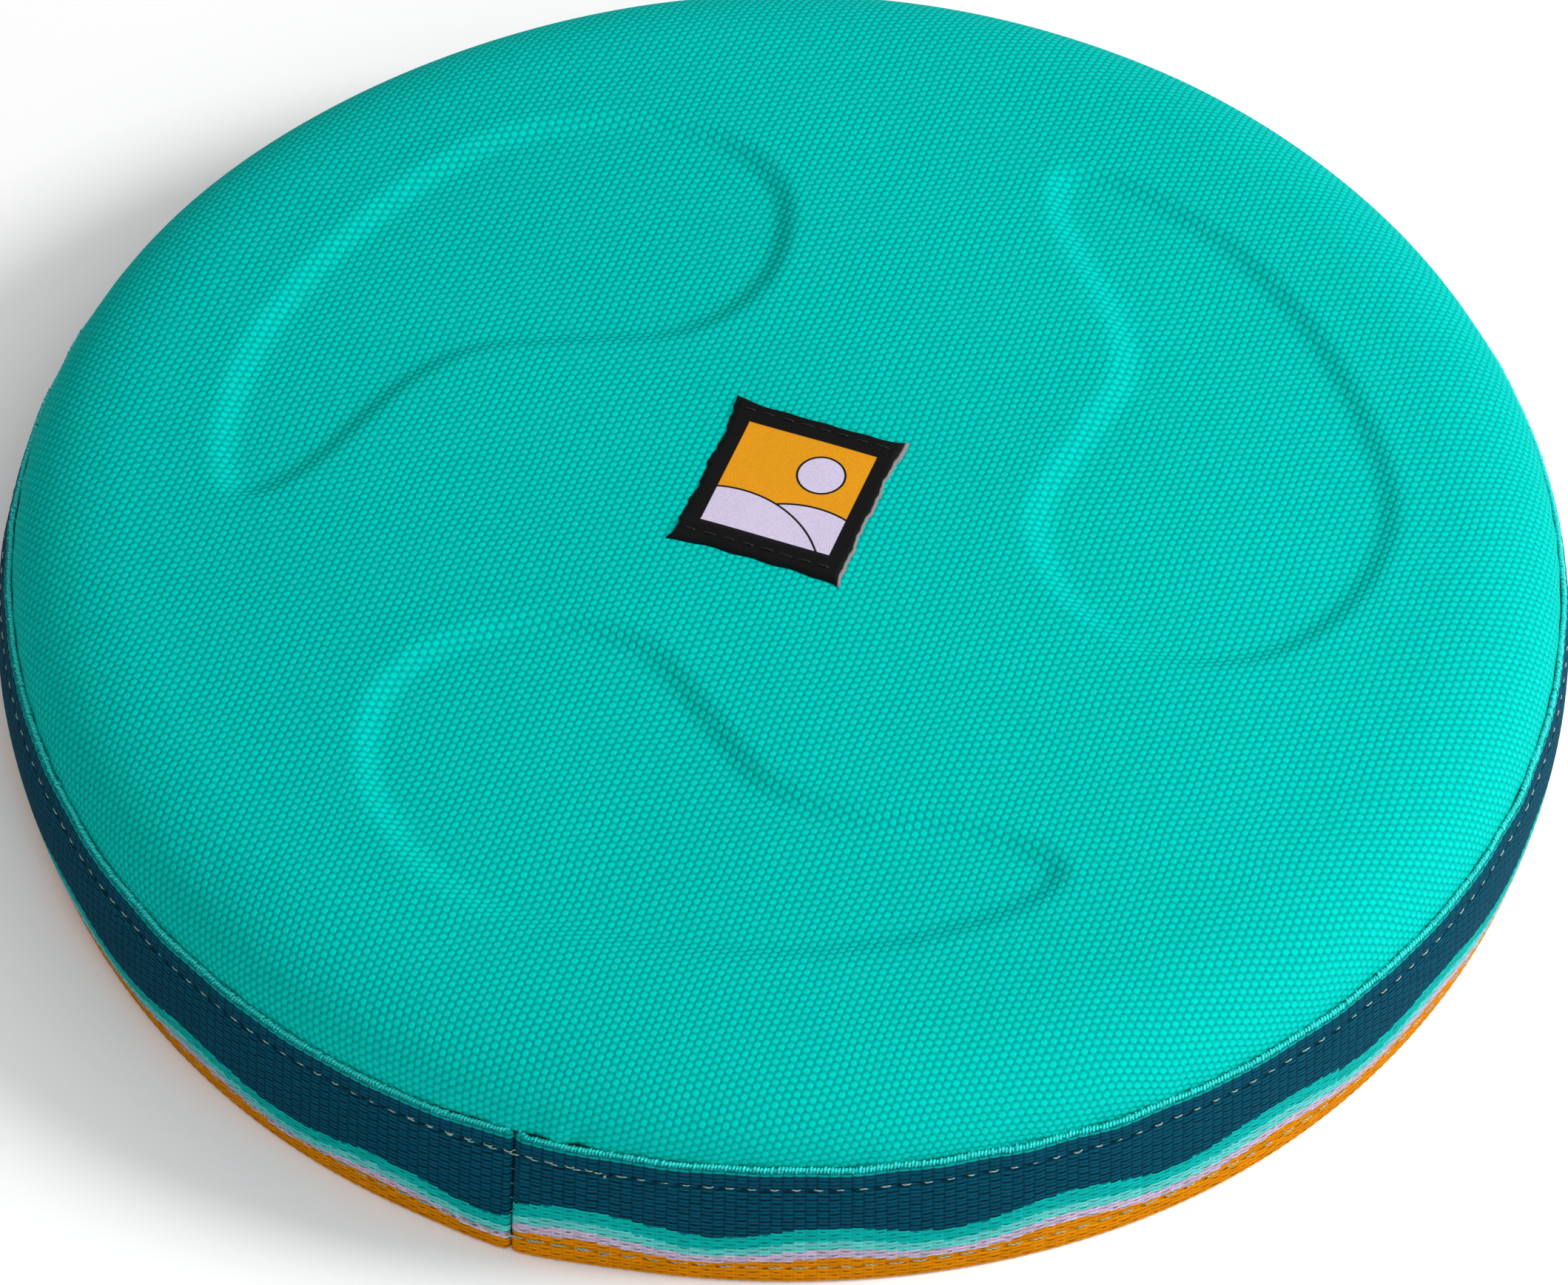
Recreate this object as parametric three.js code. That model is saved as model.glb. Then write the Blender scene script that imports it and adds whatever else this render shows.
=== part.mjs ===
// A soft flying disc: a moulded foam cap with a woven cover, a lined underside and a sewn webbing rim.
// Units are millimetres. +Z is up, and the origin is the centre of the rim's flat bottom edge.
import * as THREE from "three";

// Rim: one loop of webbing that flares out slightly towards its bottom edge.
const RIM_TOP_RADIUS = 115;
const RIM_BOTTOM_RADIUS = 116.7;
const RIM_HEIGHT = 24;
const WEBBING = 1.3;

// Dome: a shallow crown, then a rolled shoulder that drops behind the webbing's top edge.
const CROWN_RISE = 15.6; // crown above the webbing's top edge
const CROWN_CURVATURE = 0.0009; // 1 / radius of the crown
const SHOULDER_START = 97; // radius where the crown ends
const SEAM_DEPTH = 1.2; // how far below the webbing's top edge the shoulder ends
const SHOULDER_OUT = 10.5; // reach of the shoulder curve along the crown
const SHOULDER_UP = 7.7; // reach of the shoulder curve up from the seam

// Layers of the cap, and the air left between neighbours.
const COVER = 0.8;
const FOAM = 7;
const LINING = 0.6;
const GAP = 0.3;
const TURNED_HEM = 7; // height of the lining's edge, turned up behind the webbing

// Three comma-shaped recesses pressed into the dome, a third of a turn apart.
const RECESS_COUNT = 3;
const RECESS_DEPTH = 1.3;
const RECESS_SOFT_EDGE = 5;
const RECESS_OUTLINE = [
  [-60.5, -47],
  [-54, -32.5],
  [-37, -25.7],
  [-21, -30.5],
  [-10.5, -45],
  [-2.5, -56],
  [9, -61.5],
  [30, -65],
  [39, -71],
  [32, -78.5],
  [12, -85.5],
  [-13, -86],
  [-41, -79],
  [-55.5, -65],
];

// Webbing joint: both ends are folded under and meet at a slit.
const JOINT_ANGLE = THREE.MathUtils.degToRad(250);
const JOINT_SLIT = 0.5;
const FOLD_LENGTH = 9;
const FOLD_PRESS = 1.7; // how far the folded ends press the cap in behind them

// Sewing: two rows right round the rim, one up the joint, and one along each folded edge of the label.
const UPPER_ROW_BELOW_TOP = 4.1;
const LOWER_ROW_HEIGHT = 3.2;
const THREAD_WIDTH = 0.5;
const THREAD_HEIGHT = 0.35;
const THREAD_LIFT = 0.1; // clearance beside a thread
const JOINT_THREAD_LENGTH = 20.5;

// Label: a woven patch sewn over the centre of the dome.
const LABEL_WIDTH = 27.5;
const LABEL_LENGTH = 29;
const LABEL_THICKNESS = 0.9;
const LABEL_TURN = THREE.MathUtils.degToRad(-18);
const LABEL_STITCH_INSET = 1.8;

// Facets.
const AROUND = 108;
const CROWN_SPAN = 86; // radius of the crown's last shared ring, clear of every layer's shoulder
const CROWN_RINGS = 14;
const PLAIN_RINGS = 4;
const SHOULDER_RINGS = 4;

// Distances inwards from the webbing's outer face at the rim wall.
const HEM_INSET = WEBBING + GAP;
const SKIRT_INSET = HEM_INSET + LINING + GAP;
// Distances below the cover's outer face.
const FOAM_TOP = COVER + GAP;
const FOAM_UNDER = FOAM_TOP + FOAM;
const LINING_TOP = FOAM_UNDER + GAP;
const LINING_UNDER = LINING_TOP + LINING;
const LAYER_FLOOR = LINING + GAP; // bottom of the foam and cover, resting on the lining's turn

const seamZ = RIM_HEIGHT - SEAM_DEPTH;

// Radius of the webbing's outer face at a height.
function wallRadius(z) {
  return THREE.MathUtils.mapLinear(z, 0, RIM_HEIGHT, RIM_BOTTOM_RADIUS, RIM_TOP_RADIUS);
}

// Height of the cover's outer face over the crown, without the recesses.
function crownZ(r) {
  return RIM_HEIGHT + CROWN_RISE - (CROWN_CURVATURE * r * r) / 2;
}

// Section of a layer that lies `inset` below the cover's outer face: from the axis over the crown,
// round the shoulder and down to the seam. Layers share the same crown stations, so they nest.
function domeSection(inset, rings) {
  const startR = SHOULDER_START - inset;
  const start = new THREE.Vector2(startR, crownZ(startR) - inset);
  const end = new THREE.Vector2(wallRadius(seamZ) - HEM_INSET - inset, seamZ - 0.16 * inset);
  const slope = CROWN_CURVATURE * startR;
  const out = SHOULDER_OUT - 0.5 * inset;
  const up = SHOULDER_UP - 0.65 * inset;
  const shoulder = new THREE.CubicBezierCurve(
    start,
    new THREE.Vector2(start.x + out, start.y - out * slope),
    new THREE.Vector2(end.x, end.y + up),
    end,
  );
  const crown = Array.from({ length: rings }, (_, i) => {
    const r = (CROWN_SPAN * i) / (rings - 1);
    return new THREE.Vector2(r, crownZ(r) - inset);
  });
  return crown.concat(shoulder.getPoints(SHOULDER_RINGS));
}

// The same section carried on down the rim wall to a bottom height.
function capSection(inset, rings, bottomZ) {
  const skirtTop = TURNED_HEM + 1;
  const wall = (z) => new THREE.Vector2(wallRadius(z) - SKIRT_INSET - inset, z);
  return [...domeSection(inset, rings), wall(skirtTop), wall(bottomZ)];
}

// Turns a closed section, given as it runs from the axis over the top and back underneath, into a solid
// that stands on +Z. Every face splits its quads along the same diagonal, whichever way the section runs
// there, so that nested layers stay parallel once they are pressed out of round.
function revolve(section) {
  const points = section.slice().reverse();
  const solid = new THREE.LatheGeometry(points, AROUND, Math.PI / 2);
  const index = [];
  for (let i = 0; i < AROUND; i += 1) {
    for (let j = 0; j < points.length - 1; j += 1) {
      const a = i * points.length + j;
      const b = a + points.length;
      const runsInwards = points[j + 1].x < points[j].x;
      index.push(...(runsInwards ? [a, b, b + 1, a, b + 1, a + 1] : [a, b, a + 1, b + 1, a + 1, b]));
    }
  }
  return solid.setIndex(index).rotateX(Math.PI / 2);
}

// Points of the recess outline as one smooth closed curve, turned to each of its places.
function recessOutlines() {
  const corners = RECESS_OUTLINE.map(([x, y]) => new THREE.Vector3(x, y, 0));
  const outline = new THREE.CatmullRomCurve3(corners, true, "catmullrom", 0.5).getPoints(80);
  const up = new THREE.Vector3(0, 0, 1);
  return Array.from({ length: RECESS_COUNT }, (_, i) =>
    outline.map((p) => p.clone().applyAxisAngle(up, (i * 2 * Math.PI) / RECESS_COUNT)),
  );
}

// Distance from a point to a closed outline, positive inside it.
function depthInside(outline, x, y) {
  let nearest = Infinity;
  let inside = false;
  for (let i = 0; i < outline.length; i += 1) {
    const a = outline[i];
    const b = outline[(i + 1) % outline.length];
    const dx = b.x - a.x;
    const dy = b.y - a.y;
    const length2 = dx * dx + dy * dy;
    if (length2 === 0) continue;
    const t = THREE.MathUtils.clamp(((x - a.x) * dx + (y - a.y) * dy) / length2, 0, 1);
    nearest = Math.min(nearest, Math.hypot(x - a.x - t * dx, y - a.y - t * dy));
    const crosses = a.y > y !== b.y > y && x < a.x + (dx * (y - a.y)) / dy;
    if (crosses) inside = !inside;
  }
  return inside ? nearest : -nearest;
}

const outlines = recessOutlines();

// How far the dome is pressed in at a point.
function recessAt(x, y) {
  const deepest = Math.max(...outlines.map((outline) => depthInside(outline, x, y)));
  return RECESS_DEPTH * THREE.MathUtils.smoothstep(deepest, -RECESS_SOFT_EDGE / 2, RECESS_SOFT_EDGE / 2);
}

// Moves each vertex by move(vertex), which changes it in place.
function reshape(geometry, move) {
  const position = geometry.attributes.position;
  const vertex = new THREE.Vector3();
  for (let i = 0; i < position.count; i += 1) {
    vertex.fromBufferAttribute(position, i);
    move(vertex);
    position.setXYZ(i, vertex.x, vertex.y, vertex.z);
  }
  geometry.computeVertexNormals();
  return geometry;
}

// Presses the recesses into the faces of the dome that lie within `depth` of the cover's outer face.
function pressRecesses(geometry, depth) {
  return reshape(geometry, (v) => {
    const below = crownZ(Math.hypot(v.x, v.y)) - v.z;
    if (below < depth) v.z -= recessAt(v.x, v.y);
  });
}

// Presses the rim wall in behind the webbing's folded ends, outside a radius and below the seam.
function pressForFolds(geometry, outsideRadius) {
  const joint = new THREE.Vector3(Math.cos(JOINT_ANGLE), Math.sin(JOINT_ANGLE), 0);
  const reach = (FOLD_LENGTH + 5) / RIM_TOP_RADIUS;
  return reshape(geometry, (v) => {
    const r = Math.hypot(v.x, v.y);
    const nearJoint = v.x * joint.x + v.y * joint.y > r * Math.cos(reach);
    if (nearJoint && r > outsideRadius && v.z <= seamZ) {
      v.x *= (r - FOLD_PRESS) / r;
      v.y *= (r - FOLD_PRESS) / r;
    }
  });
}

function topCover() {
  const outer = capSection(0, CROWN_RINGS, LAYER_FLOOR);
  const inner = capSection(COVER, CROWN_RINGS, LAYER_FLOOR);
  const shell = revolve([...outer, ...inner.reverse()]);
  return pressForFolds(pressRecesses(shell, FOAM_TOP), SHOULDER_START);
}

function foamCore() {
  const outer = capSection(FOAM_TOP, CROWN_RINGS, LAYER_FLOOR);
  const inner = capSection(FOAM_UNDER, PLAIN_RINGS, LAYER_FLOOR);
  const core = revolve([...outer, ...inner.reverse()]);
  const middleOfWall = wallRadius(0) - SKIRT_INSET - (FOAM_TOP + FOAM_UNDER) / 2;
  return pressForFolds(pressRecesses(core, (FOAM_TOP + FOAM_UNDER) / 2), middleOfWall);
}

// The lining follows the foam's underside down the rim, turns under it and up behind the webbing.
function undersideLining() {
  const upper = capSection(LINING_TOP, PLAIN_RINGS, LINING);
  const lower = capSection(LINING_UNDER, PLAIN_RINGS, 0);
  const hemOuter = (z) => new THREE.Vector2(wallRadius(z) - HEM_INSET, z);
  const hemInner = (z) => new THREE.Vector2(wallRadius(z) - HEM_INSET - LINING, z);
  const hem = [hemInner(LINING), hemInner(TURNED_HEM), hemOuter(TURNED_HEM), hemOuter(0)];
  const lining = revolve([...upper, ...hem, ...lower.reverse()]);
  return pressForFolds(lining, wallRadius(0) - SKIRT_INSET);
}

// Plan of the webbing: an open ring whose two ends are folded back on its inside.
function webbingPlan() {
  const slit = JOINT_SLIT / 2 / RIM_TOP_RADIUS;
  const corner = 0.8;
  const cornerTurn = corner / RIM_TOP_RADIUS;
  const foldTurn = FOLD_LENGTH / RIM_TOP_RADIUS;
  const inner = RIM_TOP_RADIUS - WEBBING;
  const folded = RIM_TOP_RADIUS - 2 * WEBBING;
  const at = (radius, angle) => new THREE.Vector2(radius * Math.cos(angle), radius * Math.sin(angle));
  const step = (2 * Math.PI) / AROUND;
  const first = JOINT_ANGLE + slit;
  const last = JOINT_ANGLE + 2 * Math.PI - slit;
  const points = [at(RIM_TOP_RADIUS - corner, first), at(RIM_TOP_RADIUS, first + cornerTurn)];
  for (let i = 1; i < AROUND; i += 1) points.push(at(RIM_TOP_RADIUS, JOINT_ANGLE + i * step));
  points.push(at(RIM_TOP_RADIUS, last - cornerTurn), at(RIM_TOP_RADIUS - corner, last));
  points.push(at(folded + corner, last), at(folded, last - cornerTurn));
  points.push(at(folded, last - foldTurn), at(inner, last - foldTurn));
  for (let i = AROUND - 1; i > 0; i -= 1) points.push(at(inner, JOINT_ANGLE + i * step));
  points.push(at(inner, first + foldTurn), at(folded, first + foldTurn));
  points.push(at(folded, first + cornerTurn), at(folded + corner, first));
  return points;
}

function rimWebbing() {
  const band = new THREE.ExtrudeGeometry(new THREE.Shape(webbingPlan()), {
    depth: RIM_HEIGHT,
    bevelEnabled: false,
  });
  return reshape(band, (v) => {
    const r = Math.hypot(v.x, v.y);
    const flared = r + wallRadius(v.z) - RIM_TOP_RADIUS;
    v.x *= flared / r;
    v.y *= flared / r;
  });
}

// A thread run as a ring round the rim wall, from an inner radius out by the thread's height.
function threadRing(z, innerRadius) {
  const half = THREAD_WIDTH / 2;
  const outerRadius = innerRadius + THREAD_HEIGHT;
  return revolve([
    new THREE.Vector2(innerRadius, z + half),
    new THREE.Vector2(outerRadius, z + half),
    new THREE.Vector2(outerRadius, z - half),
    new THREE.Vector2(innerRadius, z - half),
    new THREE.Vector2(innerRadius, z + half),
  ]);
}

function needleThread(z) {
  return threadRing(z, wallRadius(z - THREAD_WIDTH / 2) + THREAD_LIFT);
}

function bobbinThread(z) {
  const liningFace = wallRadius(z + THREAD_WIDTH / 2) - SKIRT_INSET - LINING_UNDER;
  return threadRing(z, liningFace - THREAD_LIFT - THREAD_HEIGHT);
}

// The thread that draws the webbing's two ends together, run up the middle of the slit between them.
function jointThread() {
  const run = new THREE.BoxGeometry(THREAD_HEIGHT, JOINT_SLIT - 2 * THREAD_LIFT, JOINT_THREAD_LENGTH);
  run.translate(0, 0, RIM_HEIGHT / 2);
  return reshape(run, (v) => {
    v.x += wallRadius(v.z) - WEBBING;
  }).rotateZ(JOINT_ANGLE);
}

// A flat strip bent down onto the crown, its underside `lift` above the cover.
function onCrown(width, length, thickness, lift, offsetY) {
  const strip = new THREE.BoxGeometry(width, length, thickness, 6, length > width / 2 ? 6 : 1, 1);
  strip.translate(0, offsetY, thickness / 2 + lift);
  return reshape(strip, (v) => {
    v.z += crownZ(Math.hypot(v.x, v.y));
  });
}

function label() {
  return onCrown(LABEL_WIDTH, LABEL_LENGTH, LABEL_THICKNESS, GAP, 0);
}

function labelThread(side) {
  const length = LABEL_WIDTH - 2;
  const offset = side * (LABEL_LENGTH / 2 - LABEL_STITCH_INSET);
  return onCrown(length, THREAD_WIDTH, THREAD_HEIGHT, GAP + LABEL_THICKNESS + THREAD_LIFT, offset);
}

function piece(name, geometry, color, roughness) {
  const material = new THREE.MeshStandardMaterial({ color, roughness, metalness: 0 });
  const mesh = new THREE.Mesh(geometry, material);
  mesh.name = name;
  return mesh;
}

const TEAL = 0x01beb4;
const NAVY = 0x01485d;
const DARK_FOAM = 0x2c3236;
const LINING_TEAL = 0x0c9c95;
const THREAD_GREEN = 0x8fb0a4;
const LABEL_ORANGE = 0xe19614;
const BLACK = 0x16161a;

const upperRow = RIM_HEIGHT - UPPER_ROW_BELOW_TOP;

const cap = new THREE.Group();
cap.add(
  piece("top_cover", topCover(), TEAL, 0.8),
  piece("foam_core", foamCore(), DARK_FOAM, 0.9),
  piece("underside_lining", undersideLining(), LINING_TEAL, 0.85),
);

const rim = new THREE.Group();
rim.add(
  piece("rim_webbing", rimWebbing(), NAVY, 0.75),
  piece("upper_needle_thread", needleThread(upperRow), THREAD_GREEN, 0.6),
  piece("upper_bobbin_thread", bobbinThread(upperRow), THREAD_GREEN, 0.6),
  piece("lower_needle_thread", needleThread(LOWER_ROW_HEIGHT), THREAD_GREEN, 0.6),
  piece("lower_bobbin_thread", bobbinThread(LOWER_ROW_HEIGHT), THREAD_GREEN, 0.6),
  piece("joint_thread", jointThread(), THREAD_GREEN, 0.6),
);

const patch = new THREE.Group();
patch.rotation.z = LABEL_TURN;
patch.add(
  piece("woven_label", label(), LABEL_ORANGE, 0.6),
  piece("label_top_thread", labelThread(1), BLACK, 0.6),
  piece("label_bottom_thread", labelThread(-1), BLACK, 0.6),
);

const disc = new THREE.Group();
disc.add(cap, rim, patch);

export default disc;
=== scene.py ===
"""A soft flying disc: woven cover over a moulded dome, lined hollow underside and a sewn webbing rim.

Lengths in the mesh code are millimetres, in the CAD frame; make_mesh turns them into metres.
Angles run anticlockwise from +X, seen from above.
"""

import math

import bmesh
import bpy
import numpy as np
from mathutils import Matrix, Vector


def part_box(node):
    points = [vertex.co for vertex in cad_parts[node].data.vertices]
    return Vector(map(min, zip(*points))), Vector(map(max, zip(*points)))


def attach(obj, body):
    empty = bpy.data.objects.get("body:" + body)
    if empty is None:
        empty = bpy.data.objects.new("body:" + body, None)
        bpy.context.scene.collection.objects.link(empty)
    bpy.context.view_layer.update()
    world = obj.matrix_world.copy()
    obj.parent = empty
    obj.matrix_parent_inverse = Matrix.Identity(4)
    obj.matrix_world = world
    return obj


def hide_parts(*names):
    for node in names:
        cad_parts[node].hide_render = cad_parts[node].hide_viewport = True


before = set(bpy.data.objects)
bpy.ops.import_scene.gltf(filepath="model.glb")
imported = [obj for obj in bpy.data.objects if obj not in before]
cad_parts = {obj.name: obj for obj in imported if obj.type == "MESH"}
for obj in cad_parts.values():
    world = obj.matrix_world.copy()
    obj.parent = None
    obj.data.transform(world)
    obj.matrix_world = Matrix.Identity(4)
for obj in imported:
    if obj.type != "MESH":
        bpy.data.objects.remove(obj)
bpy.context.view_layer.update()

MM = 0.001


def box_mm(node):
    """Lowest and highest corner of a CAD node in millimetres."""
    low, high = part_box(node)
    return low / MM, high / MM


COVER_LOW, COVER_HIGH = box_mm("top_cover")
WEBBING_HIGH = box_mm("rim_webbing")[1]
UPPER_ROW_BOX = box_mm("upper_needle_thread")
LOWER_ROW_BOX = box_mm("lower_needle_thread")

# Rim, from the webbing's outer face inwards.
RIM_HEIGHT = WEBBING_HIGH.z
RIM_BOTTOM_RADIUS = WEBBING_HIGH.x
RIM_TOP_RADIUS = RIM_BOTTOM_RADIUS - 1.7
WEBBING_THICKNESS = 0.95
HEM_INSET = 1.0
SKIRT_INSET = 2.3
JOINT_ANGLE = math.radians(250.6)
SLIT_TOP, SLIT_BOTTOM = 0.25, 0.1
FOLD_LENGTH = 9.0
FOLD_PRESS = 1.25

# Radius of the settled rim every 30 degrees from +X: at its top edge, its fullest height and its bottom.
# The cloth disc is not a perfect circle: it bulges at the left and tucks under at both sides.
TOP_RADII = [115.1, 114.2, 114.1, 114.4, 114.4, 116.5, 116.4, 115.7, 115.4, 114.4, 115.3, 115.8]
MIDDLE_RADII = [116.2, 116.2, 116.3, 116.3, 116.5, 117.8, 118.2, 117.4, 116.8, 115.9, 116.2, 116.6]
BOTTOM_RADII = [114.4, 115.3, 115.8, 115.8, 115.6, 115.6, 115.2, 115.8, 117.2, 116.2, 116.4, 115.0]
JOINT_FLARE, FLARE_LENGTH = 0.9, 10.0
FULLEST_SHARE = 0.42
SETTLED_FROM, SETTLED_TO = 85.0, 112.0

# Dome: a shallow crown, then a rolled shoulder that drops behind the webbing's top edge.
CROWN_TOP = COVER_HIGH.z
CROWN_CURVATURE = 0.0009
SHOULDER_START = 97.0
SEAM_Z = RIM_HEIGHT - 1.0
SHOULDER_OUT = 10.0
SHOULDER_UP = 7.2
SHOULDER_BULGE = 0.5
COVER_THICKNESS = 0.8
FOAM_INSETS = (1.1, 8.1)
LINING_INSET = 8.4
LINING_THICKNESS = 0.6
TURNED_HEM = 7.0
LAYER_FLOOR = COVER_LOW.z
UNEVENNESS = 0.05
PUCKER = 0.25

# Recesses pressed into the dome.
RECESS_COUNT = 3
RECESS_DEPTH = 1.5
RECESS_SOFT_EDGE = 4.5
RECESS_CENTRE = (-0.5, -0.6)
RECESS_SCALE = (1.0, 0.97)
RECESS_OUTLINE = [
    (-60.5, -47), (-54, -32.5), (-37, -25.7), (-21, -30.5), (-10.5, -45), (-2.5, -56), (9, -61.5),
    (30, -65), (39, -71), (32, -78.5), (12, -85.5), (-13, -86), (-41, -79), (-55.5, -65),
]

# Weaves: spacing of neighbouring yarns in each direction, and how deep the webbing's ribs and grooves are.
COVER_YARNS = (0.67, 1.083)
COVER_WEAVE_TURN = math.radians(11.8)
LINING_YARNS = (0.5, 0.5)
WEBBING_RIB = 1.63
WEBBING_ROW = 0.75
SELVAGE_PITCH = 0.5
RIB_RELIEF = 0.1
GROOVE = 0.15

# Sewing: (pitch, share of each stitch that shows on the face), the share that shows of each bobbin
# thread's stitches, and where the rim rows' first stitches start.
# The back tack is a second pass of stitches beside the joint, a little above the first.
UPPER_STITCH = (3.13, 0.42)
LOWER_STITCH = (3.43, 0.68)
LABEL_STITCH = (2.8, 0.72)
BOBBIN_SHARE = 0.7
UPPER_START, LOWER_START = -0.7, -1.1
THREAD_RADIUS = 0.115
JOINT_THREAD_RADIUS = 0.1
THREAD_TWIST = 0.8
BACK_TACK, BACK_TACK_RAISE = 15.0, 0.36
JOINT_STITCH_PITCH = 2.9
UPPER_ROW_Z = (UPPER_ROW_BOX[0].z + UPPER_ROW_BOX[1].z) / 2
LOWER_ROW_Z = (LOWER_ROW_BOX[0].z + LOWER_ROW_BOX[1].z) / 2

# Label. Its motif is three round shapes, each given as (x, y, radius).
LABEL_WIDTH, LABEL_LENGTH = 26.0, 28.6
LABEL_TURN = math.radians(-20)
LABEL_CENTRE = (-0.35, -1.0)
LABEL_HEM = 3.6
LABEL_STITCH_INSET = 1.8
LABEL_ORANGE, LABEL_LILAC, LABEL_BLACK = (232, 156, 20), (214, 203, 230), (9, 9, 11)
SUN, BACK_HILL, FRONT_HILL = (3.6, 4.0, 3.4), (5.5, -17.0, 14.6), (-6.0, -19.5, 16.6)

# Bands of the webbing: height of each lower band's top border, how far the border swings along the
# webbing, how far it drifts from one end to the other, and the colour below it.
BAND_WAVE_LENGTH = 34.43
BAND_WAVE_START = 10.0
NAVY = (0, 73, 96)
TOP_EDGE_TEAL = (0, 150, 148)
BANDS = [
    (9.5, 1.15, 1.4, (0, 168, 162)),
    (7.1, 1.05, 1.05, (88, 194, 190)),
    (5.4, 0.9, 0.95, (198, 182, 208)),
    (3.9, 0.8, 0.7, (208, 127, 0)),
]

# Camera: a long lens, looking down at the disc from the front. Shifts are shares of the image's width.
CAMERA_ELEVATION = math.radians(49.66)
CAMERA_ROLL = math.radians(0.56)
CAMERA_DISTANCE = 1.3386
SENSOR_WIDTH = 36.0
LENS = 203.87
SHIFT_X, SHIFT_Y = -0.00354, 0.01095

# Studio light.
BRIGHT_SIDE = (0.88, -0.3, 0.48)
DIM_LIGHT, BRIGHT_LIGHT = 0.02, 0.96
BACKDROP_LIGHT = 0.9
LIGHT_AIM = (0, 0, 0.02)
FLOOR_SIZE = 6000.0
FLOOR_Z = -0.2


# ---------------------------------------------------------------- mesh helpers


def make_mesh(name, points, faces, attributes=None, smooth=True):
    """An object from vertices in millimetres and a face list, with named per-vertex vectors."""
    mesh = bpy.data.meshes.new(name)
    mesh.from_pydata((np.asarray(points) * MM).tolist(), [], faces)
    for key, values in (attributes or {}).items():
        layer = mesh.attributes.new(key, "FLOAT_VECTOR", "POINT")
        layer.data.foreach_set("vector", np.asarray(values, np.float32).ravel())
    mesh.polygons.foreach_set("use_smooth", [smooth] * len(mesh.polygons))
    mesh.validate()
    piece = bpy.data.objects.new(name, mesh)
    bpy.context.scene.collection.objects.link(piece)
    return piece


def grid_faces(rows, columns, wrap_rows=False, wrap_columns=False, offset=0):
    """Quads between neighbouring points of a rows x columns grid, optionally closed either way."""
    i = np.arange(rows if wrap_rows else rows - 1)
    j = np.arange(columns if wrap_columns else columns - 1)
    i, j = np.meshgrid(i, j, indexing="ij")
    next_i, next_j = (i + 1) % rows, (j + 1) % columns
    corners = [i * columns + j, next_i * columns + j, next_i * columns + next_j, i * columns + next_j]
    return (np.stack(corners, -1).reshape(-1, 4) + offset).tolist()


def smoothstep(low, high, x):
    t = np.clip((x - low) / (high - low), 0, 1)
    return t * t * (3 - 2 * t)


def around(values, angle):
    """Smooth periodic curve through values spaced evenly round the disc."""
    v = np.asarray(values)
    t = (np.asarray(angle) / (2 * math.pi) % 1) * len(v)
    i = t.astype(int)
    f = t - i
    a, b, c, d = (v[(i + k) % len(v)] for k in (-1, 0, 1, 2))
    return 0.5 * (2 * b + (c - a) * f + (2 * a - 5 * b + 4 * c - d) * f**2 + (3 * b - a - 3 * c + d) * f**3)


def settle(points):
    """Moves points of the regular disc in or out to the settled shape of its rim."""
    points = np.array(points, float)
    x, y, z = points[..., 0], points[..., 1], points[..., 2]
    r = np.hypot(x, y)
    angle = np.arctan2(y, x)
    t = np.clip(z / RIM_HEIGHT, 0, 1)
    m = FULLEST_SHARE
    settled = (
        around(TOP_RADII, angle) * t * (t - m) / (1 - m)
        + around(MIDDLE_RADII, angle) * t * (t - 1) / (m * (m - 1))
        + around(BOTTOM_RADII, angle) * (t - m) * (t - 1) / m
    )
    from_joint = ((angle - JOINT_ANGLE + math.pi) % (2 * math.pi) - math.pi) * RIM_BOTTOM_RADIUS
    settled += JOINT_FLARE * np.exp(-((from_joint / FLARE_LENGTH) ** 2)) * (1 - t)
    shift = (settled - wall_radius(t * RIM_HEIGHT)) * smoothstep(SETTLED_FROM, SETTLED_TO, r)
    points[..., 0] += x / np.maximum(r, 1e-6) * shift
    points[..., 1] += y / np.maximum(r, 1e-6) * shift
    return points


def ripple(angle, seed, lowest=3, highest=24, fall=1.0):
    """A smooth repeatable wobble round the disc, about -1 to 1: a few sine waves with fixed phases."""
    rng = np.random.default_rng(seed)
    waves = rng.choice(np.arange(lowest, highest + 1), 7, replace=False)
    phases = rng.uniform(0, 2 * math.pi, len(waves))
    weights = (lowest / waves) ** fall
    total = sum(w * np.sin(k * angle + p) for k, p, w in zip(waves, phases, weights))
    return total / np.abs(weights).sum() * 1.8


# ---------------------------------------------------------------- dome and rim shape


def wall_radius(z):
    """Radius of the webbing's outer face at a height."""
    return RIM_BOTTOM_RADIUS + (RIM_TOP_RADIUS - RIM_BOTTOM_RADIUS) * z / RIM_HEIGHT


def crown_z(r):
    return CROWN_TOP - CROWN_CURVATURE * r * r / 2


def bezier(p0, p1, p2, p3, count):
    t = np.linspace(0, 1, count)[:, None]
    return p0 * (1 - t) ** 3 + 3 * p1 * t * (1 - t) ** 2 + 3 * p2 * t * t * (1 - t) + p3 * t**3


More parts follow.
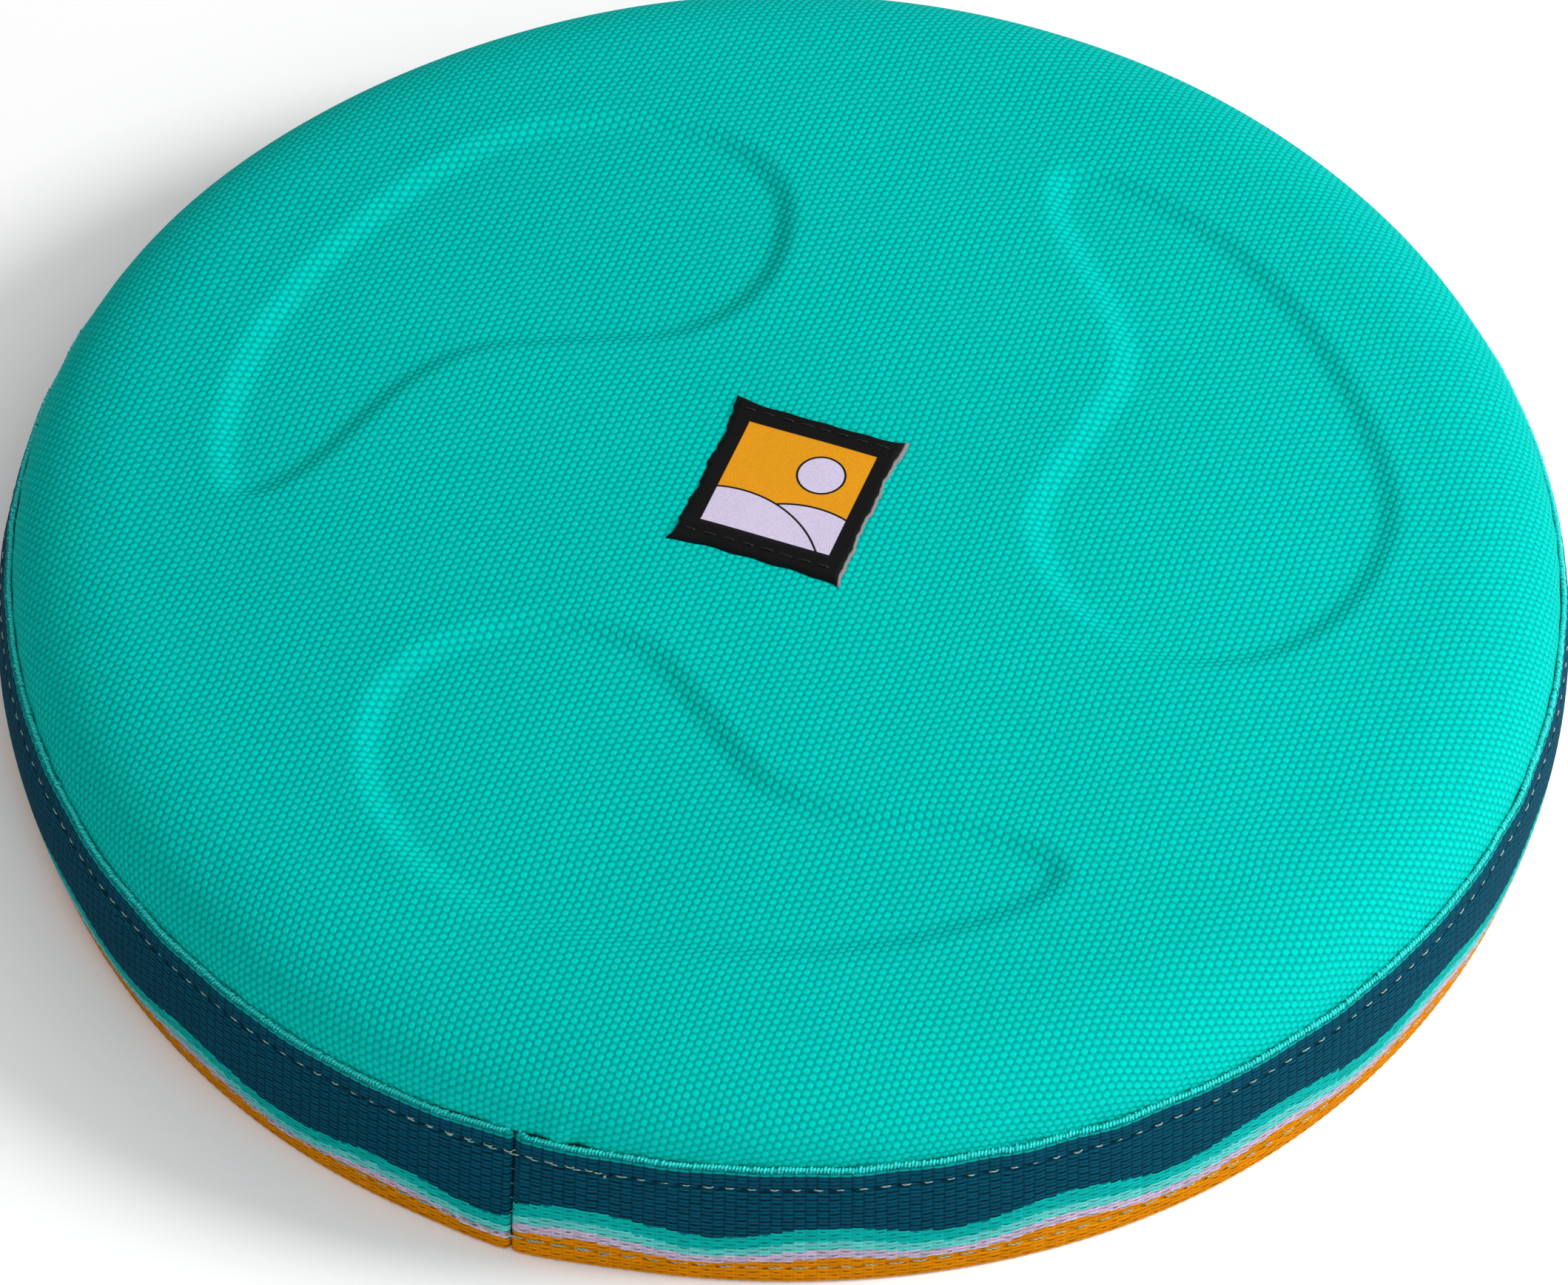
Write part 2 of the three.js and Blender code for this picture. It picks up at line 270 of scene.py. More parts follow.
def cap_section(inset, crown_count, shoulder_count, wall_count, bottom):
    """(r, z) points of a layer lying inset below the cover's face, from the axis out and down the wall."""
    start_r = SHOULDER_START - inset
    start = np.array([start_r, crown_z(start_r) - inset])
    end = np.array([wall_radius(SEAM_Z) - HEM_INSET - inset, SEAM_Z - 0.16 * inset])
    slope = CROWN_CURVATURE * start_r
    out, up = SHOULDER_OUT - 0.5 * inset, SHOULDER_UP - 0.65 * inset
    r = np.linspace(0, start_r, crown_count)[:-1]
    crown = np.stack([r, crown_z(r) - inset], 1)
    bulge = [SHOULDER_BULGE * (1 - inset / LINING_INSET), up]
    shoulder = bezier(start, start + [out, -out * slope], end + bulge, end, shoulder_count)
    wall_z = np.linspace(TURNED_HEM + 1, bottom, wall_count)
    wall = np.stack([wall_radius(wall_z) - SKIRT_INSET - inset, wall_z], 1)
    return np.concatenate([crown, shoulder, wall])


def closed_spline(corners, per_span=8):
    """Catmull-Rom curve through the corners of a closed outline."""
    p1 = np.asarray(corners, float)
    p0, p2, p3 = np.roll(p1, 1, 0), np.roll(p1, -1, 0), np.roll(p1, -2, 0)
    t = np.arange(per_span)[None, :, None] / per_span
    a, b, c, d = (q[:, None, :] for q in (p0, p1, p2, p3))
    curve = 0.5 * (
        2 * b + (c - a) * t + (2 * a - 5 * b + 4 * c - d) * t**2 + (3 * b - a - 3 * c + d) * t**3
    )
    return curve.reshape(-1, 2)


def depth_inside(outline, points):
    """Distance of each point to a closed outline, positive inside."""
    nearest = np.full(len(points), np.inf)
    inside = np.zeros(len(points), bool)
    x, y = points[:, 0], points[:, 1]
    for a, b in zip(outline, np.roll(outline, -1, 0)):
        d = b - a
        t = np.clip(((x - a[0]) * d[0] + (y - a[1]) * d[1]) / (d @ d), 0, 1)
        nearest = np.minimum(nearest, np.hypot(x - a[0] - t * d[0], y - a[1] - t * d[1]))
        if a[1] != b[1]:
            inside ^= ((a[1] > y) != (b[1] > y)) & (x < a[0] + d[0] * (y - a[1]) / d[1])
    return np.where(inside, nearest, -nearest)


def recess_at(points):
    """How far the dome is pressed in at each (x, y)."""
    outline = closed_spline(RECESS_OUTLINE)
    deepest = np.full(len(points), -np.inf)
    for k in range(RECESS_COUNT):
        turn = 2 * math.pi * k / RECESS_COUNT
        spin = np.array([[math.cos(turn), math.sin(turn)], [-math.sin(turn), math.cos(turn)]])
        place = outline @ spin * RECESS_SCALE + RECESS_CENTRE
        deepest = np.maximum(deepest, depth_inside(place, points))
    half = RECESS_SOFT_EDGE / 2
    return RECESS_DEPTH * smoothstep(-half, half, deepest)


def revolve(section, spokes):
    """Grid of points, spokes x section, and each point's angle."""
    angle = np.linspace(0, 2 * math.pi, spokes, endpoint=False)
    r, z = section[:, 0][None, :], section[:, 1][None, :]
    x, y = r * np.cos(angle)[:, None], r * np.sin(angle)[:, None]
    return np.stack(np.broadcast_arrays(x, y, z), -1), angle


def fold_press(angle):
    """1 behind the webbing's folded ends, fading to 0 beyond them."""
    away = np.abs((angle - JOINT_ANGLE + math.pi) % (2 * math.pi) - math.pi) * RIM_TOP_RADIUS
    return 1 - smoothstep(FOLD_LENGTH - 1, FOLD_LENGTH + 5, away)


def cloth_coordinates(points):
    """Where each point lies on the flat cloth: along the section from the axis, at the same angle."""
    steps = np.linalg.norm(np.diff(points[0], axis=0), axis=1)
    arc = np.concatenate([[0], np.cumsum(steps)])
    r = np.hypot(points[..., 0], points[..., 1])
    scale = np.where(r > 1e-6, arc[None, :] / np.maximum(r, 1e-6), 1.0)
    return np.stack([points[..., 0] * scale, points[..., 1] * scale, np.zeros_like(r)], -1)


def cap_layer(name, outer, inner, spokes, shape, edge=np.empty((0, 2))):
    """A closed cloth layer: its upper face, an optional run of edge points, and its lower face."""
    section = np.concatenate([outer, edge, inner[::-1]])
    points, angle = revolve(section, spokes)
    points = shape(points.copy(), angle)
    rest = points[:, len(outer):]
    cloth = np.concatenate(
        [cloth_coordinates(points[:, : len(outer)]), cloth_coordinates(rest[:, ::-1])[:, ::-1]], 1
    )
    faces = grid_faces(spokes, len(section), True, False)
    piece = make_mesh(name, settle(points).reshape(-1, 3), faces, {"cloth": cloth.reshape(-1, 3)})
    return close_up(piece, weld=True)


def close_up(piece, weld=False):
    """Turns every face of a closed piece outwards, first merging points that meet on the axis."""
    work = bmesh.new()
    work.from_mesh(piece.data)
    if weld:
        bmesh.ops.remove_doubles(work, verts=work.verts, dist=0.002 * MM)
    bmesh.ops.recalc_face_normals(work, faces=work.faces)
    if work.calc_volume(signed=True) < 0:
        bmesh.ops.reverse_faces(work, faces=work.faces)
    work.to_mesh(piece.data)
    work.free()
    return piece


def press_in(points, depth):
    """Moves points towards the axis by a depth."""
    r = np.maximum(np.hypot(points[..., 0], points[..., 1]), 1)
    points[..., :2] *= (1 - depth / r)[..., None]
    return points


def press_dome(points, angle):
    """Presses the recesses and a faint unevenness into the dome, and the rim wall in behind the folds."""
    flat = points.reshape(-1, 3)
    on_dome = flat[:, 2] > SEAM_Z + 1
    flat[on_dome, 2] -= recess_at(flat[on_dome, :2])
    x, y = flat[:, 0], flat[:, 1]
    uneven = (
        np.sin(x / 17 + 1.3) * np.sin(y / 21 - 0.4)
        + 0.6 * np.sin(x / 8.3 - y / 11 + 2.1)
        + 0.5 * np.sin(x / 12.1 + y / 7.4)
    )
    flat[:, 2] += np.where(on_dome, UNEVENNESS * uneven, 0)
    points = flat.reshape(points.shape)
    z = points[..., 2]
    spoke = angle[:, None]
    on_wall = np.hypot(points[..., 0], points[..., 1]) > SHOULDER_START
    press = FOLD_PRESS * fold_press(spoke) * smoothstep(SEAM_Z + 0.8, SEAM_Z - 0.6, z)
    pucker = PUCKER * ripple(spoke, 6, 50, 160, 0.3) * np.exp(-(((z - SEAM_Z - 1.5) / 2.2) ** 2))
    near_joint = 0.4 + 1.4 * fold_press(spoke)
    return press_in(points, (press + pucker * near_joint) * on_wall)


def build_cover():
    """The woven cover: pressed over the foam, with its edge tucked behind the rim."""
    outer = cap_section(0, 84, 30, 6, LAYER_FLOOR)
    inner = cap_section(COVER_THICKNESS, 40, 10, 3, LAYER_FLOOR)
    return cap_layer("cover_cloth", outer, inner, 480, press_dome)


def build_foam():
    """The foam cap under the cover."""
    outer = cap_section(FOAM_INSETS[0], 40, 10, 4, LAYER_FLOOR)
    inner = cap_section(FOAM_INSETS[1], 16, 8, 3, LAYER_FLOOR)

    def shape(points, angle):
        upper = points[:, : len(outer)]
        points[:, : len(outer)] = press_dome(upper.copy(), angle)
        return points

    return cap_layer("foam_cap", outer, inner, 180, shape)


def build_lining():
    """The lining: over the hollow underside, under the rim and up behind the webbing."""
    upper = cap_section(LINING_INSET, 26, 12, 4, LINING_THICKNESS)
    lower = cap_section(LINING_INSET + LINING_THICKNESS, 40, 20, 8, 0.9)
    hem_z = np.array([LINING_THICKNESS, TURNED_HEM])
    hem_inner = np.stack([wall_radius(hem_z) - HEM_INSET - LINING_THICKNESS, hem_z], 1)
    hem_outer = np.stack([wall_radius(hem_z[::-1]) - HEM_INSET, [TURNED_HEM, 0.5]], 1)
    outer_r = wall_radius(0) - HEM_INSET
    inner_r = lower[-1, 0]
    turn = np.array(
        [[outer_r - 0.15, 0.12], [outer_r - 0.5, 0], [inner_r + 0.8, 0], [inner_r + 0.25, 0.25]]
    )
    edge = np.concatenate([hem_inner, hem_outer, turn])

    def shape(points, angle):
        hem = np.hypot(points[..., 0], points[..., 1]) > wall_radius(0) - SKIRT_INSET - 0.05
        return press_in(points, FOLD_PRESS * fold_press(angle)[:, None] * hem)

    return cap_layer("underside_cloth", upper, lower, 360, shape, edge)


# ---------------------------------------------------------------- webbing

RIM_LENGTH = 2 * math.pi * RIM_TOP_RADIUS


def joint_to_angle(distance):
    """Angle at a distance along the rim from the joint, on the webbing's top edge."""
    return JOINT_ANGLE + distance / RIM_TOP_RADIUS


def webbing_path():
    """Plan of the webbing's middle line as (depth behind the outer face, distance from the joint)."""
    half = WEBBING_THICKNESS / 2
    turn_at = SLIT_BOTTOM / 2 + WEBBING_THICKNESS
    tail = np.linspace(FOLD_LENGTH, turn_at, 12)[:-1]
    bend = np.linspace(math.pi, 0, 13)
    bend_depth = WEBBING_THICKNESS - half * np.cos(bend)
    bend_distance = turn_at - half * np.sin(bend)
    steps = int((RIM_LENGTH - 2 * turn_at) / (WEBBING_RIB / 4))
    run = np.linspace(turn_at, RIM_LENGTH - turn_at, steps)
    depth = np.concatenate(
        [np.full(len(tail), 3 * half), bend_depth, np.full(steps - 2, half), bend_depth[::-1],
         np.full(len(tail), 3 * half)]
    )
    distance = np.concatenate(
        [tail, bend_distance, run[1:-1], RIM_LENGTH - bend_distance[::-1], RIM_LENGTH - tail[::-1]]
    )
    return depth, distance


def open_slit(distance, z):
    """How far the webbing leans away from the joint there, which makes the slit wider at its top."""
    widening = (SLIT_TOP - SLIT_BOTTOM) / 2 * z / RIM_HEIGHT
    start = 1 - smoothstep(0, 8, distance)
    end = 1 - smoothstep(0, 8, RIM_LENGTH - distance)
    return widening * (start - end)


def rim_wobble(angle):
    """Small unevenness of the sewn top edge: (outwards, up)."""
    return 0.12 * ripple(angle, 4, 9, 60, 0.4), 0.16 * ripple(angle, 9, 7, 48, 0.5)


def webbing_section():
    """Closed section of the webbing as (distance in front of its middle, height), face first."""
    half = WEBBING_THICKNESS / 2
    rounding = half * 0.7
    low, high = rounding, RIM_HEIGHT - 0.35 - rounding
    near_rows = [row + step for row in (UPPER_ROW_Z, LOWER_ROW_Z) for step in (-0.8, -0.4, 0, 0.4, 0.8)]
    plain = [z for z in np.linspace(low, high, 27) if min(abs(z - row) for row in near_rows) > 0.35]
    face_z = sorted(plain + near_rows)
    turns = np.linspace(0, math.pi, 7)[1:-1]
    top = [(half * math.cos(a), high + rounding * math.sin(a)) for a in turns]
    back = [(-half, z) for z in np.linspace(high, low, 9)]
    bottom = [(-half * math.cos(a), low - rounding * math.sin(a)) for a in turns]
    return np.array([(half, z) for z in face_z] + top + back + bottom)


def lay_plan(depth, distance):
    """The webbing's middle line in plan, its outward directions, and the cloth's length from the joint."""
    angle = joint_to_angle(distance)
    r = RIM_TOP_RADIUS - depth
    plan = np.stack([r * np.cos(angle), r * np.sin(angle)], 1)
    tangent = np.gradient(plan, axis=0)
    tangent /= np.linalg.norm(tangent, axis=1, keepdims=True)
    outward = np.stack([tangent[:, 1], -tangent[:, 0]], 1)
    along = np.concatenate([[0], np.cumsum(np.linalg.norm(np.diff(plan, axis=0), axis=1))])
    return plan, outward, (along - along[np.argmax(depth <= WEBBING_THICKNESS)])[:, None]


def face_relief(along, side, z):
    """Ribs across the webbing's face, and the grooves that its stitch rows lie in."""
    on_face = smoothstep(0.1, WEBBING_THICKNESS / 2, side)
    relief = RIB_RELIEF * (np.abs(np.cos(math.pi * along / WEBBING_RIB)) - 1) * on_face
    for row_z in (UPPER_ROW_Z, LOWER_ROW_Z):
        relief = relief - GROOVE * np.exp(-(((z - row_z) / 0.5) ** 2)) * on_face
    return relief


def build_webbing():
    """The rim webbing: ribbed outer face, rounded edges and both ends folded back behind the face."""
    depth, distance = webbing_path()
    plan, outward, along = lay_plan(depth, distance)
    section = webbing_section()
    side = section[:, 0][None, :]
    z = np.repeat(section[:, 1][None, :], len(plan), 0)
    offset = side + face_relief(along, side, z)
    x = plan[:, :1] + outward[:, :1] * offset
    y = plan[:, 1:] + outward[:, 1:] * offset
    folded = smoothstep(0.8, 1.4, depth / WEBBING_THICKNESS)[:, None]
    sunk = 1.5 * folded * smoothstep(15, RIM_HEIGHT, z)

    out, up = rim_wobble(joint_to_angle(distance))
    share = smoothstep(RIM_HEIGHT * 0.35, RIM_HEIGHT, z)
    r = np.hypot(x, y) + wall_radius(z) - RIM_TOP_RADIUS + out[:, None] * share
    spoke = np.arctan2(y, x) + open_slit(distance[:, None], z) / RIM_TOP_RADIUS
    points = np.stack([r * np.cos(spoke), r * np.sin(spoke), z + up[:, None] * share - sunk], -1)
    web = np.stack(np.broadcast_arrays(along, z, 0.0), -1)
    rows, columns = z.shape
    faces = grid_faces(rows, columns, False, True)
    faces += [list(range(columns)), list(range((rows - 1) * columns, rows * columns))[::-1]]
    piece = make_mesh("rim_band", settle(points).reshape(-1, 3), faces, {"web": web.reshape(-1, 3)})
    return close_up(piece)


def at_rim(distance, r, z):
    """Point on the rim at a distance from the joint, a radius and a height, before settling."""
    angle = joint_to_angle(distance + open_slit(distance % RIM_LENGTH, z))
    return np.stack(np.broadcast_arrays(r * np.cos(angle), r * np.sin(angle), z), -1)


def build_selvage(name, edge_z, reach, thickness, wobble):
    """The weft yarn that loops over an edge of the webbing, as one long coil round it."""
    start, stop = SLIT_BOTTOM / 2 + 0.5, RIM_LENGTH - SLIT_BOTTOM / 2 - 0.5
    loops = int((stop - start) / SELVAGE_PITCH)
    t = np.linspace(0, loops, loops * 8 + 1)
    distance = start + (stop - start) * t / loops
    out, up = rim_wobble(joint_to_angle(distance))
    rng = np.random.default_rng(17)
    loop = np.minimum(t.astype(int), loops)
    uneven = 1 + 0.14 * rng.standard_normal(loops + 1)[loop]
    shift = 0.08 * rng.standard_normal(loops + 1)[loop]
    corner = 1 - smoothstep(0, 1.4, distance - start) * smoothstep(0, 1.4, stop - distance)
    centre = wall_radius(edge_z) - WEBBING_THICKNESS / 2 + wobble * out - 0.6 * corner
    r = centre + reach[0] * uneven * np.cos(2 * math.pi * t)
    z = edge_z + wobble * up + shift + reach[1] * uneven * np.sin(2 * math.pi * t)
    return thread_piece(name, [at_rim(distance, r, z)], thickness, 6)


# ---------------------------------------------------------------- sewing


def circle_section(radius, sides):
    a = np.linspace(0, 2 * math.pi, sides, endpoint=False)
    return np.stack([radius * np.cos(a), radius * np.sin(a)], 1)


def tube_frames(path):
    """Two unit vectors across a path at each point."""
    tangent = np.gradient(path, axis=0)
    tangent /= np.linalg.norm(tangent, axis=1, keepdims=True)
    helper = np.tile([0.0, 0.0, 1.0], (len(path), 1))
    helper[np.abs(tangent[:, 2]) > 0.9] = [1.0, 0.0, 0.0]
    across = np.cross(tangent, helper)
    across /= np.linalg.norm(across, axis=1, keepdims=True)
    return across, np.cross(across, tangent)


def thread_piece(name, paths, radius=THREAD_RADIUS, sides=6, settled=True):
    """One mesh of closed tubes along open paths."""
    points, faces, coords = [], [], []
    offset = 0
    section = circle_section(radius, sides)
    for path in paths:
        path = settle(path) if settled else path
        across, up = tube_frames(path)
        ring = (
            path[:, None, :]
            + section[None, :, :1] * across[:, None, :]
            + section[None, :, 1:] * up[:, None, :]
        )
        rows, columns = ring.shape[:2]
        faces += grid_faces(rows, columns, False, True, offset)
        faces.append([offset + k for k in range(columns)])
        faces.append([offset + (rows - 1) * columns + k for k in range(columns)][::-1])
        along = np.concatenate([[0], np.cumsum(np.linalg.norm(np.diff(path, axis=0), axis=1))])
        turn = np.arctan2(section[:, 1], section[:, 0])
        grid = np.stack(np.broadcast_arrays(along[:, None], turn[None, :], 0.0), -1)
        points.append(ring.reshape(-1, 3))
        coords.append(grid.reshape(-1, 3))
        offset += rows * columns
    piece = make_mesh(name, np.concatenate(points), faces, {"thread": np.concatenate(coords)})
    return close_up(piece)


def stitches(length, pitch, shown, seed, lift, dive):
    """(distance, height, sideways) along a lockstitch thread: flat on the cloth for the shown share of
    each stitch, and down inside it for the rest."""
    count = int(round(length / pitch))
    pitch = length / count
    rng = np.random.default_rng(seed)
    visible = np.clip(shown * (1 + 0.13 * rng.standard_normal(count)), 0.2, 0.85)
    lean = 0.04 * rng.standard_normal(count)
    lift = lift + 0.03 * rng.standard_normal(count)
    marks = np.array([0, 0.03, 0.09, 0.25, 0.5, 0.75, 0.91, 0.97, 1])
    flat = 1 - np.abs(2 * marks - 1) ** 7
    rows = []
    for k in range(count):
        for s, f in zip(marks, flat):
            rows.append(((k + s * visible[k]) * pitch, lift[k] * f - dive * (1 - f), lean[k] * (2 * s - 1)))
        for s in (0.25, 0.75):
            rows.append(((k + visible[k] + s * (1 - visible[k])) * pitch, -dive - 0.12, 0.0))
    return np.array(rows).T


def rim_stitches(row_z, radius, outwards, stitch, seed, start, length, raised=0.0):
    """A stitch row on the rim wall, on its outer face or with outwards -1 on its inner one."""
    pitch, shown = stitch
    distance, height, sideways = stitches(length, pitch, shown, seed, 0.03, 0.5)
    distance = distance + start
    up = rim_wobble(joint_to_angle(distance))[1] * smoothstep(8, RIM_HEIGHT, row_z)
    return at_rim(distance, radius + outwards * height, row_z + raised + sideways + up)


def knot(distance, row_z):
    """A cut thread end worked into a small knot on the rim's face."""
    t = np.linspace(0, 4 * math.pi, 25)
    r = wall_radius(row_z) + 0.04 + 0.02 * t
    return at_rim(distance + 0.14 * np.cos(t), r, row_z + 0.12 * np.sin(t))


def build_rim_threads():
    """Needle threads on the webbing's face, doubled beside the joint, and bobbin threads on the lining."""
    made = {}
    rows = (
        ("upper", UPPER_ROW_Z, UPPER_STITCH, 30, UPPER_START),
        ("lower", LOWER_ROW_Z, LOWER_STITCH, 40, LOWER_START),
    )
    for label, row_z, stitch, seed, start in rows:
        face = wall_radius(row_z) - GROOVE
        inside = wall_radius(row_z) - SKIRT_INSET - LINING_INSET - LINING_THICKNESS
        back_start = RIM_LENGTH - BACK_TACK
        paths = [
            rim_stitches(row_z, face, 1, stitch, seed, start, RIM_LENGTH),
            rim_stitches(row_z, face + 0.1, 1, stitch, seed + 1, back_start + start * 2, 2 * BACK_TACK,
                         BACK_TACK_RAISE),
            knot(BACK_TACK - 1.5, row_z - 0.1),
        ]
        made[label + "_needle_thread"] = thread_piece(label + "_stitches", paths)
        back = rim_stitches(row_z, inside, -1, (stitch[0], BOBBIN_SHARE), seed + 2, start, RIM_LENGTH)
        made[label + "_bobbin_thread"] = thread_piece(label + "_inner_stitches", [back])
    made["joint_thread"] = build_joint_thread()
    return made


def build_joint_thread():
    """The thread that zigzags up the slit and draws the webbing's two ends together."""
    ladder = []
    for k, z in enumerate(np.arange(2.2, RIM_HEIGHT - 2, JOINT_STITCH_PITCH)):
        ends = (-0.75, 0.75) if k % 2 == 0 else (0.75, -0.75)
        ladder += [(ends[0], z + 0.1), (ends[0] / 3, z), (ends[1] / 3, z), (ends[1], z - 0.1)]
    distance, z = np.array(ladder).T
    angle = joint_to_angle(distance)
    r = wall_radius(z) - 0.55
    path = np.stack([r * np.cos(angle), r * np.sin(angle), z], -1)
    return thread_piece("joint_stitches", [path], JOINT_THREAD_RADIUS)


# ---------------------------------------------------------------- label


def label_frame(points):
    """Moves (x, y, height above the dome) of the label to its place, turned on the crown."""
    c, s = math.cos(LABEL_TURN), math.sin(LABEL_TURN)
    x = points[..., 0] * c - points[..., 1] * s + LABEL_CENTRE[0]
    y = points[..., 0] * s + points[..., 1] * c + LABEL_CENTRE[1]
    z = crown_z(np.hypot(x, y)) + points[..., 2]
    return np.stack([x, y, z], -1)


def label_height(x, y):
    """Height of the label's face over the dome: hems thicker, edges rounded, dimpled along the stitches."""
    side = LABEL_WIDTH / 2 - np.abs(x)
    end = LABEL_LENGTH / 2 - np.abs(y)
    edge = np.minimum(smoothstep(-0.05, 0.7, side), smoothstep(-0.05, 0.8, end))
    hem = 1 - smoothstep(LABEL_HEM - 0.6, LABEL_HEM + 1.2, end)
    body = 0.5 + 0.42 * hem + 0.05 * np.sin(x / 3.1 + 0.4) * np.sin(y / 4.3)
    dimple = 0.22 * np.exp(-(((end - LABEL_STITCH_INSET) / 0.45) ** 2))
    return 0.08 + (body - dimple) * edge


def build_label():
    """The woven patch as a closed sheet with slightly flared corners."""
    columns, rows = 72, 76
    u, v = np.meshgrid(np.linspace(-1, 1, columns), np.linspace(-1, 1, rows))
    flare = 1 + 0.055 * (u * v) ** 6
    x, y = u * LABEL_WIDTH / 2 * flare, v * LABEL_LENGTH / 2 * flare
    rough = 0.16 * np.sin(v * 9 + 0.5) + 0.1 * np.sin(v * 23 + u) + 0.07 * np.sin(v * 47 + 2 * u)
    x = x + rough * smoothstep(0.9, 1, np.abs(u)) * np.sign(u)
    y = y + 0.12 * np.sin(u * 13 + v) * smoothstep(0.92, 1, np.abs(v)) * np.sign(v)
    height = label_height(u * LABEL_WIDTH / 2, v * LABEL_LENGTH / 2)
    top = label_frame(np.stack([x, y, height], -1))
    under = label_frame(np.stack([x, y, np.full_like(x, 0.03)], -1))
    points = np.concatenate([top.reshape(-1, 3), under.reshape(-1, 3)])
    count = rows * columns
    faces = grid_faces(rows, columns)
    faces += [face[::-1] for face in grid_faces(rows, columns, offset=count)]
    rim = (
        list(range(columns))
        + [r * columns + columns - 1 for r in range(1, rows)]
        + [(rows - 1) * columns + c for c in range(columns - 2, -1, -1)]
        + [r * columns for r in range(rows - 2, 0, -1)]
    )
    faces += [[a, b, b + count, a + count] for a, b in zip(rim, rim[1:] + rim[:1])]
    flat = np.stack([u * LABEL_WIDTH / 2, v * LABEL_LENGTH / 2, np.zeros_like(u)], -1)
    coords = np.concatenate([flat.reshape(-1, 3)] * 2)
    return close_up(make_mesh("label_patch", points, faces, {"label": coords}))


def label_row(side, seed):
    """Stitches along one hem of the label."""
    length = LABEL_WIDTH - 2.4
    distance, height, sideways = stitches(length, *LABEL_STITCH, seed, 0.1, 0.3)
    row_y = side * (LABEL_LENGTH / 2 - LABEL_STITCH_INSET)
    x, y = distance - length / 2, row_y + sideways
    base = label_height(x, np.full_like(x, row_y))
    return label_frame(np.stack([x, y, base + height], -1))


# ---------------------------------------------------------------- materials


def srgb(r, g, b):
    """Linear colour from 0-255 display values."""
    def linear(c):
        c /= 255
        return c / 12.92 if c <= 0.04045 else ((c + 0.055) / 1.055) ** 2.4
    return (linear(r), linear(g), linear(b), 1.0)


